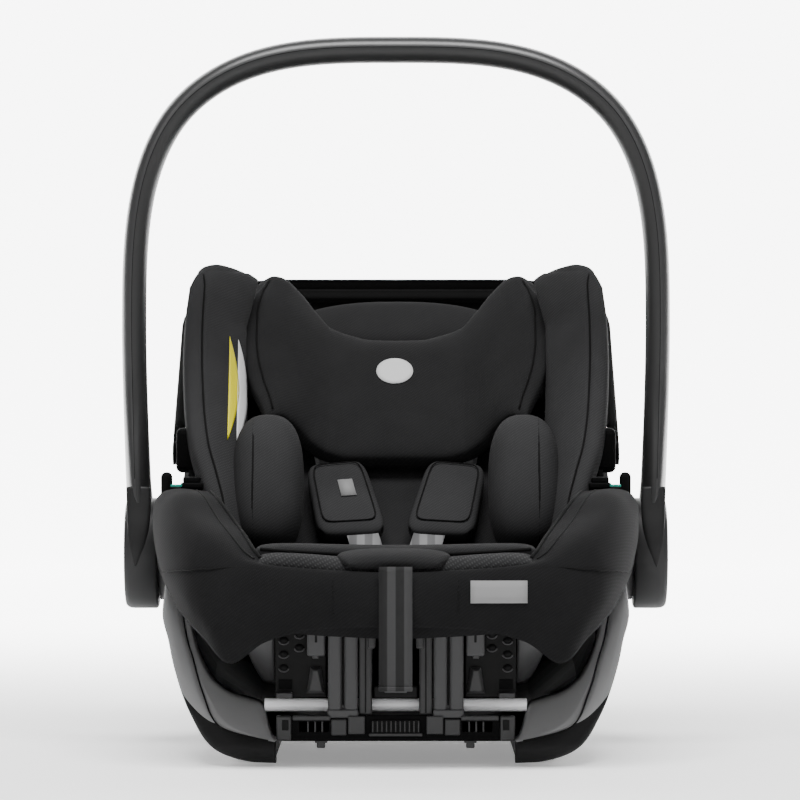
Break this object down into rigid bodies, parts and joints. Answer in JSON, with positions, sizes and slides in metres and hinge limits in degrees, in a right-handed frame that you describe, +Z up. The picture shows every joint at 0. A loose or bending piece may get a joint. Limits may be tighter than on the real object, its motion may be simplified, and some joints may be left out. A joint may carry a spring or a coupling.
{
  "type": "infant car seat",
  "caption": "Rear-facing infant carrier with swinging carry handle, reclining padded bucket, sliding headrest, stowed folding hood, harness and rocker base.",
  "frame": {"origin": "floor point under the middle of the bounding box", "axes": "+X toward the side called right, +Y toward the head end, +Z up; the foot end faces -Y"},
  "size_m": [0.442, 0.6599, 0.5738],
  "materials": {
    "handle_black": "satin",
    "hub_grey": "satin",
    "trim_grey": "satin",
    "shell_black": "fine texture",
    "steel": "bright",
    "foot_rubber": "matt",
    "fabric": "fine knit",
    "fabric_mesh": "open mesh",
    "foam": "expanded foam",
    "webbing": "woven",
    "hood_fabric": "woven",
    "button_red": "gloss",
    "button_grey": "satin"
  },
  "bodies": {
    "carrier": {"outer_shell": "shell_black", "base_tray": "shell_black", "latch_bar": "steel", "pivot_housing_left": "shell_black", "pivot_housing_right": "shell_black", "lock_ring_left": "steel", "lock_ring_right": "steel", "carrier_arm_left": "shell_black", "carrier_arm_right": "shell_black", "arm_trim_left": "trim_grey", "arm_trim_right": "trim_grey", "base_rail_left": "shell_black", "base_rail_right": "shell_black", "foot_pad_left": "foot_rubber", "foot_pad_right": "foot_rubber", "side_panel_left": "shell_black", "side_panel_right": "shell_black", "guide_rib_left": "trim_grey", "guide_rib_right": "trim_grey"},
    "handle": {"handle_tube": "handle_black", "handle_hub_left": "hub_grey", "handle_hub_right": "hub_grey"},
    "handle_button_left": {"handle_button_left": "button_grey"},
    "handle_button_right": {"handle_button_right": "button_grey"},
    "seat": {"seat_bucket": "shell_black", "foam_liner": "foam", "seat_pad": "fabric", "insert_base": "fabric_mesh", "back_pad": "fabric", "front_skirt": "fabric", "buckle": "button_grey", "crotch_strap": "webbing", "crotch_pad": "fabric", "adjuster_housing": "button_grey", "pull_strap": "webbing", "side_wing_left": "fabric", "side_wing_right": "fabric", "front_wing_left": "fabric", "front_wing_right": "fabric", "hip_bolster_left": "fabric", "hip_bolster_right": "fabric", "shoulder_pad_left": "fabric", "shoulder_pad_right": "fabric", "harness_strap_left": "webbing", "harness_strap_right": "webbing", "belt_guide_left": "button_grey", "belt_guide_right": "button_grey", "hood_mount_left": "button_grey", "hood_mount_right": "button_grey"},
    "headrest": {"headrest_core": "shell_black", "headrest_pad": "fabric"},
    "hood": {"hood_bow": "shell_black"},
    "hood_mid": {"hood_mid_bow": "shell_black", "hood_canopy": "hood_fabric"},
    "buckle_button": {"buckle_button": "button_red"},
    "adjuster_button": {"adjuster_button": "button_grey"},
    "recline_pull": {"recline_pull": "button_grey"},
    "base_release_grip": {"base_release_grip": "button_grey"}
  },
  "joints": [
    {"name": "handle_swing", "type": "hinge", "parent": "carrier", "child": "handle", "pos_m": [0, -0.03, 0.154], "axis": [1, 0, 0], "range_deg": [-95, 105]},
    {"name": "handle_button_left_press", "type": "slide", "parent": "handle", "child": "handle_button_left", "axis": [1, 0, 0], "range_m": [0, 0.0035], "stiffness_N_per_m": 600},
    {"name": "handle_button_right_press", "type": "slide", "parent": "handle", "child": "handle_button_right", "axis": [-1, 0, 0], "range_m": [0, 0.0035], "stiffness_N_per_m": 600},
    {"name": "seat_recline", "type": "hinge", "parent": "carrier", "child": "seat", "pos_m": [0, -0.03, 0.154], "axis": [1, 0, 0], "range_deg": [-8, 0]},
    {"name": "headrest_slide", "type": "slide", "parent": "seat", "child": "headrest", "axis": [0, 0.7071, 0.7071], "range_m": [0, 0.07]},
    {"name": "hood_open", "type": "hinge", "parent": "seat", "child": "hood", "pos_m": [0, 0.01, 0.235], "axis": [1, 0, 0], "range_deg": [0, 80]},
    {"name": "hood_mid_open", "type": "hinge", "parent": "seat", "child": "hood_mid", "pos_m": [0, 0.01, 0.235], "axis": [1, 0, 0], "range_deg": [0, 40]},
    {"name": "buckle_button_press", "type": "slide", "parent": "seat", "child": "buckle_button", "axis": [0, 0, -1], "range_m": [0, 0.003], "stiffness_N_per_m": 600},
    {"name": "adjuster_button_press", "type": "slide", "parent": "seat", "child": "adjuster_button", "axis": [0, 0, -1], "range_m": [0, 0.0022], "stiffness_N_per_m": 600},
    {"name": "recline_pull_slide", "type": "slide", "parent": "carrier", "child": "recline_pull", "axis": [0, -1, 0], "range_m": [0, 0.006], "stiffness_N_per_m": 600},
    {"name": "base_release_lift", "type": "slide", "parent": "carrier", "child": "base_release_grip", "axis": [0, 0, 1], "range_m": [0, 0.006], "stiffness_N_per_m": 600}
  ],
  "couplings": [
    {"joint": "hood_mid_open", "follows": "hood_open", "ratio": 0.5}
  ]
}
